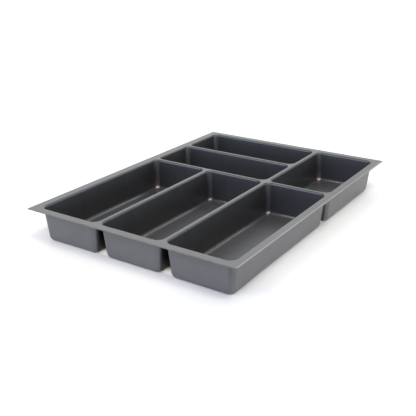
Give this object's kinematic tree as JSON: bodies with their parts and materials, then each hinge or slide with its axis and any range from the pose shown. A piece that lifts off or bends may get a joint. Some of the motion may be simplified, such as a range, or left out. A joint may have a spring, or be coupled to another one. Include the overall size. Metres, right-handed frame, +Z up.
{
  "type": "cutlery tray",
  "caption": "Rectangular drawer insert for cutlery: open wells with rounded floors and tapered walls under a flat rim with a narrow flange.",
  "frame": {"origin": "middle of the footprint on the surface that the tray stands on", "axes": "+X to the right of the drawer, +Y to its back, +Z up out of the wells"},
  "size_m": [0.3404, 0.48, 0.0507],
  "materials": {
    "grey_plastic": "anthracite plastic sheet with a fine satin grain"
  },
  "bodies": {
    "root": {"rim_frame": "grey_plastic", "front_left_well": "grey_plastic", "front_middle_well": "grey_plastic", "front_right_well": "grey_plastic", "middle_cross_well": "grey_plastic", "rear_cross_well": "grey_plastic", "rear_right_well": "grey_plastic"}
  },
  "joints": []
}
